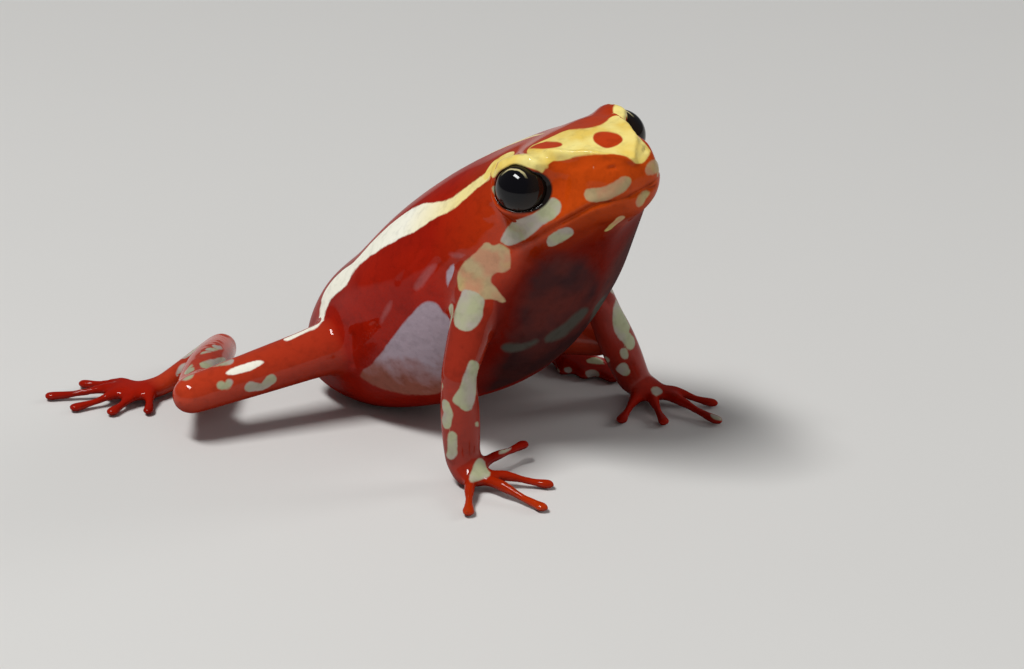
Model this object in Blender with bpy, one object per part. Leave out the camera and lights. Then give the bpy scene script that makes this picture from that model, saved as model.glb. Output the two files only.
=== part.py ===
"""A small poison dart frog that sits high on straight arms with its snout raised.

Frog axes: +X forward, +Y to its left, +Z up, and the floor is z = 0. Its own sizes are counted in MM,
which makes the straight line from the snout's tip to the vent the length it is given below.
"""

import math

import bmesh
import bpy
from mathutils import Matrix, Vector

# Driving dimensions
SNOUT_TO_VENT = 0.024
MM = SNOUT_TO_VENT / 23.3
GAP = 0.0003  # kept between two pieces that touch
EYE_GAP = 0.0002
THINNEST = 1e-6  # points nearer than this after a cut become one
SAME_POINT = 1e-7  # and nearer than this in a new mesh

# The trunk and head are one loft. Each station is a slanting section: its highest and lowest point in
# the frog's middle plane as (x, z), its half width, and which outline it has.
STATIONS = (
    # top            bottom         half width  outline
    ((0.30, 3.20), (0.30, 1.70), 0.85, "trunk"),
    ((0.50, 4.60), (0.80, 0.55), 2.00, "trunk"),
    ((1.55, 6.45), (2.60, -0.06), 3.00, "trunk"),
    ((3.30, 8.15), (5.20, -0.02), 3.90, "trunk"),
    ((5.50, 10.55), (8.40, 0.90), 4.50, "trunk"),
    ((8.00, 12.65), (11.80, 2.40), 4.75, "trunk"),
    ((10.35, 14.25), (14.40, 4.50), 4.60, "trunk"),
    ((12.40, 15.40), (16.20, 7.20), 4.30, "neck"),
    ((13.80, 16.05), (17.20, 9.60), 4.10, "neck"),
    ((15.30, 16.70), (18.00, 11.30), 3.95, "head"),
    ((16.70, 17.05), (18.80, 12.40), 3.40, "head"),
    ((17.90, 17.15), (19.40, 13.00), 2.80, "snout"),
    ((18.95, 17.00), (19.85, 13.30), 2.25, "snout"),
    ((19.65, 16.60), (20.08, 13.55), 1.75, "snout"),
    ((20.08, 16.00), (20.26, 13.85), 1.25, "snout"),
    ((20.28, 15.35), (20.34, 14.30), 0.75, "snout"),
)
NECK_CUT = 7.4  # where the head parts from the trunk, counted in stations
RINGS = {"torso": 22, "head": 20}

# Half outlines from the middle of the back to the middle of the belly, as shares of the half width
# and of the half height: back, canthus or shoulder, upper side, side, lip or flank, underside, belly.
OUTLINES = {
    "trunk": ((0, 1), (0.52, 0.88), (0.90, 0.48), (1.00, -0.05), (0.86, -0.58), (0.47, -0.91), (0, -1)),
    "neck": ((0, 1), (0.58, 0.92), (0.90, 0.54), (0.98, 0.08), (0.98, -0.34), (0.62, -0.84), (0, -1)),
    "head": ((0, 1), (0.62, 0.95), (0.86, 0.58), (0.94, 0.08), (1.00, -0.32), (0.66, -0.80), (0, -1)),
    "snout": ((0, 1), (0.64, 0.88), (0.84, 0.48), (0.93, 0.06), (1.00, -0.32), (0.64, -0.80), (0, -1)),
}
LIP_LINE = 4  # the lip or flank point of an outline

# The head turns to the frog's right and rolls, more and more from one station to another
HEAD_TURN = {"pivot": (12.0, 0.0, 12.5), "first": 6.2, "last": 9.2, "yaw": -16.0, "roll": 9.5}
HEAD_PITCH = 30.0

EYE = {"centre": (15.91, 3.38, 15.19), "radius": 1.27, "forward": 38.0, "up": 12.0, "sides": 20}
LIDS = {"wall": 0.30, "opening": 0.52, "tilt": 12.0}  # they end outside the eye's centre, the upper one last
NOSTRIL = {"station": 12.4, "outline": 1.7, "radius": 0.18}
MOUTH = {"first": 8.0, "last": 14.9, "radius": 0.14, "rise": 0.55, "steps": 13}

# Arms and legs: their joints, and radii from one end of each segment to the other
ARMS = {
    "right": {"shoulder": (12.2, -3.7, 9.6), "elbow": (12.9, -6.6, 5.5), "wrist": (13.1, -6.6, 1.2)},
    "left": {"shoulder": (12.2, 3.7, 9.6), "elbow": (13.8, 5.0, 5.2), "wrist": (14.7, 6.5, 1.2)},
}
LEGS = {
    "right": {"hip": (4.6, -1.6, 4.2), "knee": (-0.8, -9.7, 2.4), "heel": (-5.3, -1.2, 1.0),
              "ankle": (-5.3, -5.8, 0.7)},
    "left": {"hip": (4.6, 1.6, 4.2), "knee": (12.4, 6.9, 2.7), "heel": (2.4, 6.8, 1.3),
             "ankle": (7.0, 8.3, 0.6)},
}
UPPER_ARM = (1.15, 1.10, 0.90)
FOREARM = (0.86, 1.00, 0.88)
THIGH = (1.45, 1.22, 0.98)
SHANK = (0.90, 1.15, 0.80)
TARSUS = (0.85, 0.72, 0.60)
CAP_ANGLES = (72, 48, 24)  # where the domed end of a limb has its rings, in degrees

# Hands and feet: the middle of the palm or sole, and for each finger or toe the way it points, in
# degrees outwards from straight ahead, its length from that middle, and the height of its tip
HANDS = {
    "right": {"middle": (13.7, -6.8), "way": 5,
              "digits": ((-80, 4.0, 0.75), (-28, 4.0, 0), (8, 4.8, 0), (58, 3.8, 0))},
    "left": {"middle": (15.1, 7.0), "way": -15,
             "digits": ((-78, 3.8, 0), (-44, 3.9, 0), (-11, 5.1, 0), (14, 3.8, 0))},
}
FEET = {
    "right": {"middle": (-5.7, -6.5), "way": 105,
              "digits": ((58, 2.4, 0), (96, 3.2, 0), (122, 4.4, 0), (144, 5.4, 0), (167, 4.1, 0))},
    "left": {"middle": (8.0, 8.5), "way": 5,
             "digits": ((-30, 2.6, 0), (-18, 3.7, 0), (-8, 5.0, 0), (1, 6.3, 0), (15, 4.4, 0))},
}
# A digit has its heights at these shares of its length, and shares of its tip's lift are added to them
DIGIT = {"base": 0.38, "middle": 0.31, "neck": 0.26, "height": 0.32, "arch": 0.28, "tip": 0.8,
         "stops": (0.0, 0.38, 0.72, 0.94), "lifts": (0.0, 0.5, 0.8, 1.0)}
DISC = {"across": 0.44, "along": 0.48, "height": 0.30, "back": 0.6, "raised": 0.75}
DIGIT_ROOT = 0.8  # the share of the pad's height at which its digits start
PALM = {"across": 0.85, "along": 1.05, "height": 0.60}
SOLE = {"across": 0.75, "along": 1.25, "height": 0.52}

MOST_GROWTH = 1.3  # how much further a sharp corner may move than the surface beside it
FLOOR = {"size": 80.0, "depth": 5.0}

SKIN_COLOURS = {
    "torso": (0.42, 0.03, 0.02), "head": (0.58, 0.06, 0.02), "limb": (0.50, 0.04, 0.02),
    "eye": (0.01, 0.008, 0.008),
}


def point(values):
    """A place given in the frog's own millimetres, in metres."""
    return Vector(values) * MM


def smooth_at(values, at):
    """The value at a fractional index of a sequence of vectors, on one smooth curve through them."""
    last = len(values) - 1
    index = min(int(at), last - 1)
    share = at - index
    before, start = values[max(index - 1, 0)], values[index]
    end, after = values[index + 1], values[min(index + 2, last)]
    slope_in, slope_out = (end - before) / 2, (after - start) / 2
    square, cube = share ** 2, share ** 3
    return (start * (2 * cube - 3 * square + 1) + slope_in * (cube - 2 * square + share)
            + end * (3 * square - 2 * cube) + slope_out * (cube - square))


def eased(value):
    """0 to 1 with no kink at either end."""
    value = min(max(value, 0.0), 1.0)
    return value * value * (3 - 2 * value)


TOPS = [Vector(station[0]) for station in STATIONS]
BOTTOMS = [Vector(station[1]) for station in STATIONS]
WIDTHS = [Vector((station[2], 0)) for station in STATIONS]


def outline_at(station, place):
    """Across and up shares at a place along the half outline, blended between stations."""
    shares = [smooth_at([Vector(pair) for pair in OUTLINES[kind]], place) for *_, kind in STATIONS]
    return smooth_at(shares, station)


def head_turn(share):
    """The turn of the head, or a share of it, about the neck."""
    pitch = math.radians(HEAD_PITCH)
    along = Vector((math.cos(pitch), 0, math.sin(pitch)))
    roll = Matrix.Rotation(math.radians(HEAD_TURN["roll"] * share), 4, along)
    yaw = Matrix.Rotation(math.radians(HEAD_TURN["yaw"] * share), 4, "Z")
    pivot = Matrix.Translation(point(HEAD_TURN["pivot"]))
    return pivot @ yaw @ roll @ pivot.inverted()


def on_body(station, place, side=1):
    """A point of the loft's surface: side is 1 on the left and -1 on the right."""
    across, up = outline_at(station, place)
    top, bottom = smooth_at(TOPS, station), smooth_at(BOTTOMS, station)
    middle = (top + bottom) / 2 + (top - bottom) / 2 * up
    half_width = smooth_at(WIDTHS, station)[0]
    span = HEAD_TURN["last"] - HEAD_TURN["first"]
    share = eased((station - HEAD_TURN["first"]) / span)
    return head_turn(share) @ point((middle[0], side * across * half_width, middle[1]))


def new_object(name, mesh):
    obj = bpy.data.objects.new(name, mesh)
    bpy.context.scene.collection.objects.link(obj)
    return obj


def from_bmesh(name, shape):
    bmesh.ops.recalc_face_normals(shape, faces=shape.faces)
    mesh = bpy.data.meshes.new(name)
    shape.to_mesh(mesh)
    shape.free()
    return new_object(name, mesh)


def removed(obj):
    bpy.data.objects.remove(obj, do_unlink=True)


def loft(name, first, last, rings, half_sides=12):
    """The body's surface between two stations, closed by a flat face at each end."""
    shape = bmesh.new()
    places = [6 * side / half_sides for side in range(half_sides + 1)]
    loops = []
    for ring in range(rings + 1):
        station = first + (last - first) * ring / rings
        left = [on_body(station, place, 1) for place in places]
        right = [on_body(station, place, -1) for place in reversed(places[1:-1])]
        loops.append([shape.verts.new(corner) for corner in left + right])
    for loop, following in zip(loops, loops[1:]):
        for corner in range(len(loop)):
            nearby = (corner + 1) % len(loop)
            shape.faces.new((loop[corner], loop[nearby], following[nearby], following[corner]))
    shape.faces.new(loops[0])
    shape.faces.new(loops[-1])
    return from_bmesh(name, shape)


def tube(name, places, radii, steps=6, sides_level=3):
    """A limb: a round tube through places, with radii that change along it and domed ends."""
    path = [point(place) for place in places]
    reach = len(path) - 1
    samples = [reach * step / (steps * reach) for step in range(steps * reach + 1)]
    widths = [Vector((radius * MM, 0)) for radius in radii]
    rows = []
    for at in samples:
        radius = smooth_at(widths, at * (len(widths) - 1) / reach)[0]
        rows.append((smooth_at(path, at), radius))
    rows = domed(rows[::-1])
    rows = domed(rows[::-1])
    curve = bpy.data.curves.new(name, "CURVE")
    curve.dimensions = "3D"
    curve.bevel_depth = 1.0  # so that each point's radius is the tube's own
    curve.bevel_resolution = sides_level
    curve.use_fill_caps = True
    spline = curve.splines.new("POLY")
    spline.points.add(len(rows) - 1)
    for row, (place, radius) in zip(spline.points, rows):
        row.co = (*place, 1.0)
        row.radius = radius
    return meshed(new_object(name, curve))


def domed(rows):
    """The rows with a half sphere's narrowing rows put before the first one."""
    start, radius = rows[0]
    outward = (start - rows[1][0]).normalized()
    cap = []
    for angle in CAP_ANGLES:
        turn = math.radians(angle)
        cap.append((start + outward * radius * math.sin(turn), radius * math.cos(turn)))
    return cap + rows


def meshed(obj):
    """The object's evaluated shape as a plain closed mesh object in its place."""
    graph = bpy.context.evaluated_depsgraph_get()
    mesh = bpy.data.meshes.new_from_object(obj.evaluated_get(graph))
    shape = bmesh.new()
    shape.from_mesh(mesh)
    bmesh.ops.remove_doubles(shape, verts=shape.verts, dist=SAME_POINT)
    name, place = obj.name, obj.matrix_world.copy()
    removed(obj)
    made = from_bmesh(name, shape)
    made.matrix_world = place
    return made


def ball(name, centre, radius, scale=(1, 1, 1), turn=0.0, segments=16):
    """A sphere, or a flattened one turned about the vertical by some degrees."""
    shape = bmesh.new()
    bmesh.ops.create_uvsphere(shape, u_segments=segments, v_segments=segments // 2, radius=radius)
    placed = Matrix.Translation(centre) @ Matrix.Rotation(math.radians(turn), 4, "Z")
    bmesh.ops.transform(shape, matrix=placed @ Matrix.Diagonal((*scale, 1)), verts=shape.verts)
    return from_bmesh(name, shape)


def combined(obj, others, operation, keep_others=False):
    """The object united with, or cut by, other closed meshes, keeping its largest closed surface."""
    group = bpy.data.collections.new("operands")
    for other in others:
        group.objects.link(other)
    modifier = obj.modifiers.new(operation, "BOOLEAN")
    modifier.operation = operation
    modifier.operand_type = "COLLECTION"
    modifier.collection = group
    modifier.solver = "MANIFOLD"
    bpy.context.view_layer.update()
    graph = bpy.context.evaluated_depsgraph_get()
    mesh = bpy.data.meshes.new_from_object(obj.evaluated_get(graph))
    obj.modifiers.clear()
    shape = bmesh.new()
    shape.from_mesh(mesh)
    bmesh.ops.remove_doubles(shape, verts=shape.verts, dist=THINNEST)
    bmesh.ops.dissolve_degenerate(shape, edges=shape.edges, dist=THINNEST)
    keep_largest(shape)
    shape.to_mesh(obj.data)
    shape.free()
    bpy.data.meshes.remove(mesh)
    bpy.data.collections.remove(group)
    if not keep_others:
        for other in others:
            removed(other)
    return obj


def keep_largest(shape):
    """Drops all but the closed surface that has the most area."""
    left = set(shape.faces)
    groups = []
    while left:
        waiting = [left.pop()]
        group = []
        while waiting:
            face = waiting.pop()
            group.append(face)
            walked = [edge for edge in face.edges if len(edge.link_faces) == 2]
            beside = {other for edge in walked for other in edge.link_faces if other in left}
            left -= beside
            waiting += beside
        groups.append(group)
    groups.sort(key=lambda group: sum(face.calc_area() for face in group))
    for group in groups[:-1]:
        bmesh.ops.delete(shape, geom=group, context="FACES")


def grown(obj, distance):
    """A copy of the object with its surface moved outwards."""
    shape = bmesh.new()
    shape.from_mesh(obj.data)
    shape.normal_update()
    moves = []
    for vertex in shape.verts:
        moves.append(vertex.normal * distance * min(vertex.calc_shell_factor(), MOST_GROWTH))
    for vertex, move in zip(shape.verts, moves):
        vertex.co += move
    return from_bmesh(obj.name + "_grown", shape)


def boxes_meet(first, second, margin):
    for axis in range(3):
        one = [corner.co[axis] for corner in first.data.vertices]
        other = [corner.co[axis] for corner in second.data.vertices]
        if min(one) > max(other) + margin or min(other) > max(one) + margin:
            return False
    return True


def floor_block():
    """Everything just below the floor, which leaves small flats at its level."""
    shape = bmesh.new()
    size, depth = FLOOR["size"] * MM, FLOOR["depth"] * MM
    matrix = Matrix.Translation((0, 0, -depth / 2)) @ Matrix.Diagonal((size, size, depth, 1))
    bmesh.ops.create_cube(shape, size=1.0, matrix=matrix)
    return from_bmesh("floor_block", shape)


def eye_frame(side):
    """The eye's place and the way it looks, as a matrix whose Z axis points out of the head."""
    x, y, z = EYE["centre"]
    forward, up = math.radians(EYE["forward"]), math.radians(EYE["up"])
    pitch = Matrix.Rotation(-math.radians(HEAD_PITCH), 3, "Y")
    look = Vector((math.sin(forward), side * math.cos(forward) * math.cos(up), math.sin(up)))
    axis = head_turn(1).to_3x3() @ pitch @ look.normalized()
    centre = head_turn(1) @ point((x, side * y, z))
    return Matrix.Translation(centre) @ axis.to_track_quat("Z", "Y").to_matrix().to_4x4()


def eye(name, side):
    return ball(name, eye_frame(side).to_translation(), EYE["radius"] * MM, segments=EYE["sides"])


def lid_part(name, side, radius, outer):
    """A ball round the eye, cut at the slanting plane of the lids' rim: the part inside or outside it."""
    tilt = math.radians(LIDS["tilt"])
    shape = bmesh.new()
    bmesh.ops.create_uvsphere(shape, u_segments=EYE["sides"], v_segments=14, radius=radius)
    cut = bmesh.ops.bisect_plane(shape, geom=shape.verts[:] + shape.edges[:] + shape.faces[:],
                                 plane_co=(0, 0, LIDS["opening"] * MM),
                                 plane_no=(0, -math.sin(tilt), math.cos(tilt)),
                                 clear_outer=not outer, clear_inner=outer)
    rim = [edge for edge in cut["geom_cut"] if isinstance(edge, bmesh.types.BMEdge)]
    bmesh.ops.contextual_create(shape, geom=rim)
    bmesh.ops.transform(shape, matrix=eye_frame(side), verts=shape.verts)
    return from_bmesh(name, shape)


def mouth_tool():
    """A thin tube along the lips, round the snout from one corner of the mouth to the other."""
    first, last, steps = MOUTH["first"], MOUTH["last"], MOUTH["steps"]
    shares = [step / steps for step in range(steps + 1)]
    lips = [(first + (last - first) * share, LIP_LINE - MOUTH["rise"] * (1 - share) ** 3)
            for share in shares]
    right = [on_body(*lip, -1) / MM for lip in lips]
    left = [on_body(*lip, 1) / MM for lip in reversed(lips)]
    return tube("mouth_tool", right + left, (MOUTH["radius"],) * 2, steps=1, sides_level=1)


def head():
    made = loft("head", NECK_CUT + neck_share(), len(STATIONS) - 1, RINGS["head"])
    socket = EYE["radius"] * MM + EYE_GAP
    lids = socket + LIDS["wall"] * MM
    combined(made, [lid_part("lids", side, lids, outer=False) for side in (1, -1)], "UNION")
    cuts = [mouth_tool()]
    for side in (1, -1):
        cuts.append(lid_part("eye_clearing", side, lids, outer=True))
        cuts.append(ball("socket", eye_frame(side).to_translation(), socket, segments=EYE["sides"]))
        nostril = on_body(NOSTRIL["station"], NOSTRIL["outline"], side)
        cuts.append(ball("nostril", nostril, NOSTRIL["radius"] * MM, segments=8))
    return combined(made, cuts, "DIFFERENCE")


def neck_share():
    """Half the gap at the neck, counted in stations."""
    low, high = NECK_CUT - 0.5, NECK_CUT + 0.5
    spacing = (smooth_at(TOPS, high) + smooth_at(BOTTOMS, high) - smooth_at(TOPS, low)
               - smooth_at(BOTTOMS, low)).length / 2
    return GAP / 2 / (spacing * MM)


def torso():
    return loft("torso", 0, NECK_CUT - neck_share(), RINGS["torso"])


def digit(name, root, angle, length, lift):
    """A finger or toe from the palm's middle: it arches down to the floor and ends in a disc."""
    turn = math.radians(angle)
    way = Vector((math.cos(turn), math.sin(turn), 0))
    low = DIGIT["height"]
    levels = (root[2], low + DIGIT["arch"], low, low * DIGIT["tip"])
    heights = [level + lift * share for level, share in zip(levels, DIGIT["lifts"])]
    places = []
    for height, share in zip(heights, DIGIT["stops"]):
        spot = Vector(root) + way * length * share
        places.append((spot[0], spot[1], height))
    bone = tube(name, places, (DIGIT["base"], DIGIT["middle"], DIGIT["neck"]), steps=3, sides_level=2)
    tip = Vector(root) + way * (length - DISC["along"] * DISC["back"])
    centre = point((tip[0], tip[1], DISC["height"] * DISC["raised"] + lift))
    scale = (DISC["along"], DISC["across"], DISC["height"])
    return [bone, ball(name + "_disc", centre, MM, scale=scale, turn=angle, segments=10)]


def paw(name, side, plan, pad):
    """A hand or foot: a flattened palm or sole with its fingers or toes joined to it."""
    x, y = plan["middle"]
    scale = (pad["along"], pad["across"], pad["height"])
    palm = ball(name, point((x, y, pad["height"])), MM, scale=scale, turn=side * plan["way"], segments=12)
    pieces = []
    for number, (angle, length, lift) in enumerate(plan["digits"]):
        start = (x, y, pad["height"] * DIGIT_ROOT)
        pieces += digit(f"digit_{number}", start, side * angle, length, lift)
    return combined(palm, pieces, "UNION")


def frog():
    nodes = {"torso": torso(), "head": head()}
    for word, side in (("left", 1), ("right", -1)):
        arm, leg = ARMS[word], LEGS[word]
        nodes[f"eye_{word}"] = eye(f"eye_{word}", side)
        nodes[f"hand_{word}"] = paw(f"hand_{word}", side, HANDS[word], PALM)
        nodes[f"foot_{word}"] = paw(f"foot_{word}", side, FEET[word], SOLE)
        segments = {
            "upper_arm": ((arm["shoulder"], arm["elbow"]), UPPER_ARM),
            "forearm": ((arm["elbow"], arm["wrist"]), FOREARM),
            "thigh": ((leg["hip"], leg["knee"]), THIGH),
            "shank": ((leg["knee"], leg["heel"]), SHANK),
            "tarsus": ((leg["heel"], leg["ankle"]), TARSUS),
        }
        for part, (joints, radii) in segments.items():
            nodes[f"{part}_{word}"] = tube(f"{part}_{word}", joints, radii)
    return nodes


# Where two pieces meet, the one named later gives way to the one named earlier
GIVES_WAY = ("torso", "head", "eye", "thigh", "hand", "foot", "shank", "tarsus", "upper_arm", "forearm")


def rank(name):
    return next(place for place, part in enumerate(GIVES_WAY) if name.startswith(part))


def part_from_neighbours(nodes):
    ordered = sorted(nodes, key=rank)
    spaces = {name: grown(nodes[name], GAP) for name in ordered}
    floor = floor_block()
    for place, name in enumerate(ordered):
        cutters = [spaces[other] for other in ordered[:place]
                   if rank(other) != rank(name) and not name.startswith(("head", "eye"))
                   and boxes_meet(nodes[name], spaces[other], 0)]
        if min(corner.co[2] for corner in nodes[name].data.vertices) < 0:
            cutters.append(floor)
        for cutter in cutters:
            combined(nodes[name], [cutter], "DIFFERENCE", keep_others=True)
    for space in spaces.values():
        removed(space)
    removed(floor)


def centre_on_origin(nodes):
    """Moves the frog so that the middle of the bottom of its box is the origin."""
    corners = [corner.co for obj in nodes.values() for corner in obj.data.vertices]
    low = [min(corner[axis] for corner in corners) for axis in range(3)]
    high = [max(corner[axis] for corner in corners) for axis in range(3)]
    shift = Vector(((low[0] + high[0]) / 2, (low[1] + high[1]) / 2, low[2]))
    for obj in nodes.values():
        obj.data.transform(Matrix.Translation(-shift))


def finish(name, colour, roughness):
    material = bpy.data.materials.new(name)
    material.use_nodes = True
    shader = material.node_tree.nodes["Principled BSDF"]
    shader.inputs["Base Color"].default_value = (*colour, 1)
    shader.inputs["Roughness"].default_value = roughness
    shader.inputs["Metallic"].default_value = 0.0
    return material


def main():
    for obj in list(bpy.data.objects):
        removed(obj)
    nodes = frog()
    part_from_neighbours(nodes)
    centre_on_origin(nodes)
    group = bpy.data.collections.new("poison_dart_frog")
    bpy.context.scene.collection.children.link(group)
    for name, obj in nodes.items():
        kind = next((word for word in SKIN_COLOURS if name.startswith(word)), "limb")
        obj.data.materials.append(finish(name + "_finish", SKIN_COLOURS[kind], 0.25))
        obj.data.shade_smooth()
        bpy.context.scene.collection.objects.unlink(obj)
        group.objects.link(obj)


main()
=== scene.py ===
import math

import bpy
import numpy
from mathutils import Matrix, Vector, kdtree
from mathutils.bvhtree import BVHTree


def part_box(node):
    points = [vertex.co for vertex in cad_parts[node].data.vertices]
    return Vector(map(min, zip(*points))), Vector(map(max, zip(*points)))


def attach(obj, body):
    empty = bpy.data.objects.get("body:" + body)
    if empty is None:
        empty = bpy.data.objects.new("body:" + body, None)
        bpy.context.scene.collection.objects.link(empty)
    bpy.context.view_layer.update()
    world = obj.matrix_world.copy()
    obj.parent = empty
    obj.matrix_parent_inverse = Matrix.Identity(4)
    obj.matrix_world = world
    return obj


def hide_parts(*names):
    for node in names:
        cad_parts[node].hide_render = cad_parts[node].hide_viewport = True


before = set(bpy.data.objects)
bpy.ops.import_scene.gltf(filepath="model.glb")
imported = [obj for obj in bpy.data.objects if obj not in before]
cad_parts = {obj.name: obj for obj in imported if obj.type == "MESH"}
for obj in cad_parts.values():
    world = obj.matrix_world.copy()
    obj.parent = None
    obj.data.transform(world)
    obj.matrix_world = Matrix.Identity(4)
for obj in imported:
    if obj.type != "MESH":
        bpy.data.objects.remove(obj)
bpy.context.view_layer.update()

print("frame loaded:", len(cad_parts), "nodes")

mm = 0.024 / 23.3  # one of the frog's own millimetres, in metres
shift = Vector((0, 0, 0))  # from the vent on the floor to the frame's origin, set below

# The trunk and head: each section's top and bottom as (x, z), half width and outline
body = {
    "sections": [
        ((0.30, 3.20), (0.30, 1.70), 0.85, "trunk"),
        ((0.50, 4.60), (0.80, 0.55), 2.00, "trunk"),
        ((1.55, 6.45), (2.60, -0.06), 3.00, "trunk"),
        ((3.30, 8.15), (5.20, -0.02), 3.90, "trunk"),
        ((5.50, 10.55), (8.40, 0.90), 4.50, "trunk"),
        ((8.00, 12.65), (11.80, 2.40), 4.75, "trunk"),
        ((10.35, 14.25), (14.40, 4.50), 4.60, "trunk"),
        ((12.40, 15.40), (16.20, 7.20), 4.30, "neck"),
        ((13.80, 16.05), (17.20, 9.60), 4.10, "neck"),
        ((15.30, 16.70), (18.00, 11.30), 3.95, "head"),
        ((16.70, 17.05), (18.80, 12.40), 3.40, "head"),
        ((17.90, 17.15), (19.40, 13.00), 2.80, "snout"),
        ((18.95, 17.00), (19.85, 13.30), 2.25, "snout"),
        ((19.65, 16.60), (20.08, 13.55), 1.75, "snout"),
        ((20.08, 16.00), (20.26, 13.85), 1.25, "snout"),
        ((20.28, 15.35), (20.34, 14.30), 0.75, "snout"),
    ],
    "outlines": {  # across and up, from the middle of the back to the middle of the belly
        "trunk": ((0, 1), (0.52, 0.88), (0.90, 0.48), (1.00, -0.05),
                  (0.86, -0.58), (0.47, -0.91), (0, -1)),
        "neck": ((0, 1), (0.58, 0.92), (0.90, 0.54), (0.98, 0.08),
                 (0.98, -0.34), (0.62, -0.84), (0, -1)),
        "head": ((0, 1), (0.62, 0.95), (0.86, 0.58), (0.94, 0.08),
                 (1.00, -0.32), (0.66, -0.80), (0, -1)),
        "snout": ((0, 1), (0.64, 0.88), (0.84, 0.48), (0.93, 0.06),
                  (1.00, -0.32), (0.64, -0.80), (0, -1)),
    },
    "pivot": (12.0, 0.0, 12.5), "turnFirst": 6.2, "turnLast": 9.2, "yaw": -16.0, "roll": 9.5,
    "pitch": 30.0,
}
eyes = {"centre": (15.91, 3.38, 15.19), "radius": 1.27, "forward": 38.0, "up": 12.0}
arms = {
    "right": {"shoulder": (12.2, -3.7, 9.6), "elbow": (12.9, -6.6, 5.5), "wrist": (13.1, -6.6, 1.2)},
    "left": {"shoulder": (12.2, 3.7, 9.6), "elbow": (13.8, 5.0, 5.2), "wrist": (14.7, 6.5, 1.2)},
    "upperArm": (1.15, 1.10, 0.90), "forearm": (0.86, 1.00, 0.88),
}
legs = {
    "right": {"hip": (4.6, -1.6, 4.2), "knee": (-0.8, -9.7, 2.4), "heel": (-5.3, -1.2, 1.0),
              "ankle": (-5.3, -5.8, 0.7)},
    "left": {"hip": (4.6, 1.6, 4.2), "knee": (12.4, 6.9, 2.7), "heel": (2.4, 6.8, 1.3),
             "ankle": (7.0, 8.3, 0.6)},
    "thigh": (1.45, 1.22, 0.98), "shank": (0.90, 1.15, 0.80), "tarsus": (0.85, 0.72, 0.60),
}
# Each digit: the way it points, its length and how high its tip is held
hands = {
    "right": {"middle": (13.7, -6.8), "way": 5,
              "digits": ((-80, 4.0, 0.75), (-28, 4.0, 0), (8, 4.8, 0), (58, 3.8, 0))},
    "left": {"middle": (15.1, 7.0), "way": -15,
             "digits": ((-78, 3.8, 0), (-44, 3.9, 0), (-11, 5.1, 0), (14, 3.8, 0))},
    "pad": (1.05, 0.85, 0.60),
}
feet = {
    "right": {"middle": (-5.7, -6.5), "way": 105,
              "digits": ((58, 2.4, 0), (96, 3.2, 0), (122, 4.4, 0), (144, 5.4, 0), (167, 4.1, 0))},
    "left": {"middle": (8.0, 8.5), "way": 5,
             "digits": ((-30, 2.6, 0), (-18, 3.7, 0), (-8, 5.0, 0), (1, 6.3, 0), (15, 4.4, 0))},
    "pad": (1.25, 0.75, 0.52),
}
digit = {"radii": (0.38, 0.31, 0.36, 0.27, 0.32, 0.24), "stops": (0.0, 0.38, 0.72, 0.94),
         "height": 0.32, "arch": 0.28, "disc": (0.48, 0.44, 0.30)}


def at(place):
    return Vector(place) * mm + shift


def smoothAt(values, where):  # one smooth curve through the values
    last = len(values) - 1
    index = min(int(where), last - 1)
    share = where - index
    before, start = values[max(index - 1, 0)], values[index]
    end, after = values[index + 1], values[min(index + 2, last)]
    slopeIn, slopeOut = (end - before) / 2, (after - start) / 2
    square, cube = share ** 2, share ** 3
    return (start * (2 * cube - 3 * square + 1) + slopeIn * (cube - 2 * square + share)
            + end * (3 * square - 2 * cube) + slopeOut * (cube - square))


def eased(value):
    value = min(max(value, 0.0), 1.0)
    return value * value * (3 - 2 * value)


def turnShare(station):  # how much of the head's turn is taken at this station of the body
    return eased((station - body["turnFirst"]) / (body["turnLast"] - body["turnFirst"]))


tops = [Vector(section[0]) for section in body["sections"]]
bottoms = [Vector(section[1]) for section in body["sections"]]
widths = [Vector((section[2], 0)) for section in body["sections"]]


def headTurn(share):
    pitch = math.radians(body["pitch"])
    along = Vector((math.cos(pitch), 0, math.sin(pitch)))
    roll = Matrix.Rotation(math.radians(body["roll"] * share), 4, along)
    yaw = Matrix.Rotation(math.radians(body["yaw"] * share), 4, "Z")
    pivot = Matrix.Translation(at(body["pivot"]))
    return pivot @ yaw @ roll @ pivot.inverted()


def onBody(station, place, side=1):  # side is 1 on the left and -1 on the right
    shares = [smoothAt([Vector(pair) for pair in body["outlines"][section[3]]], place)
              for section in body["sections"]]
    across, up = smoothAt(shares, station)
    top, bottom = smoothAt(tops, station), smoothAt(bottoms, station)
    middle = (top + bottom) / 2 + (top - bottom) / 2 * up
    halfWidth = smoothAt(widths, station)[0]
    return headTurn(turnShare(station)) @ at((middle[0], side * across * halfWidth, middle[1]))


def eyeFrame(side):  # the eye's place, with Z out of the head
    x, y, z = eyes["centre"]
    forward, up = math.radians(eyes["forward"]), math.radians(eyes["up"])
    pitch = Matrix.Rotation(-math.radians(body["pitch"]), 3, "Y")
    look = Vector((math.sin(forward), side * math.cos(forward) * math.cos(up), math.sin(up)))
    axis = headTurn(1).to_3x3() @ pitch @ look.normalized()
    centre = headTurn(1) @ at((x, side * y, z))
    return Matrix.Translation(centre) @ axis.to_track_quat("Z", "Y").to_matrix().to_4x4()


low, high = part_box("eye_right")
shift = (Vector(low) + Vector(high)) / 2 - eyeFrame(-1).to_translation()
shift.z = 0.0

# Camera: the vent's place on the floor is at ventPixel, as in the photograph
view = {"azimuth": 33.0, "elevation": 22.0, "distance": 210 * mm, "lens": 145.0,
        "sensor": 36.0, "nearest": 0.005, "size": (1024, 669), "ventPixel": (320, 380)}


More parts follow.
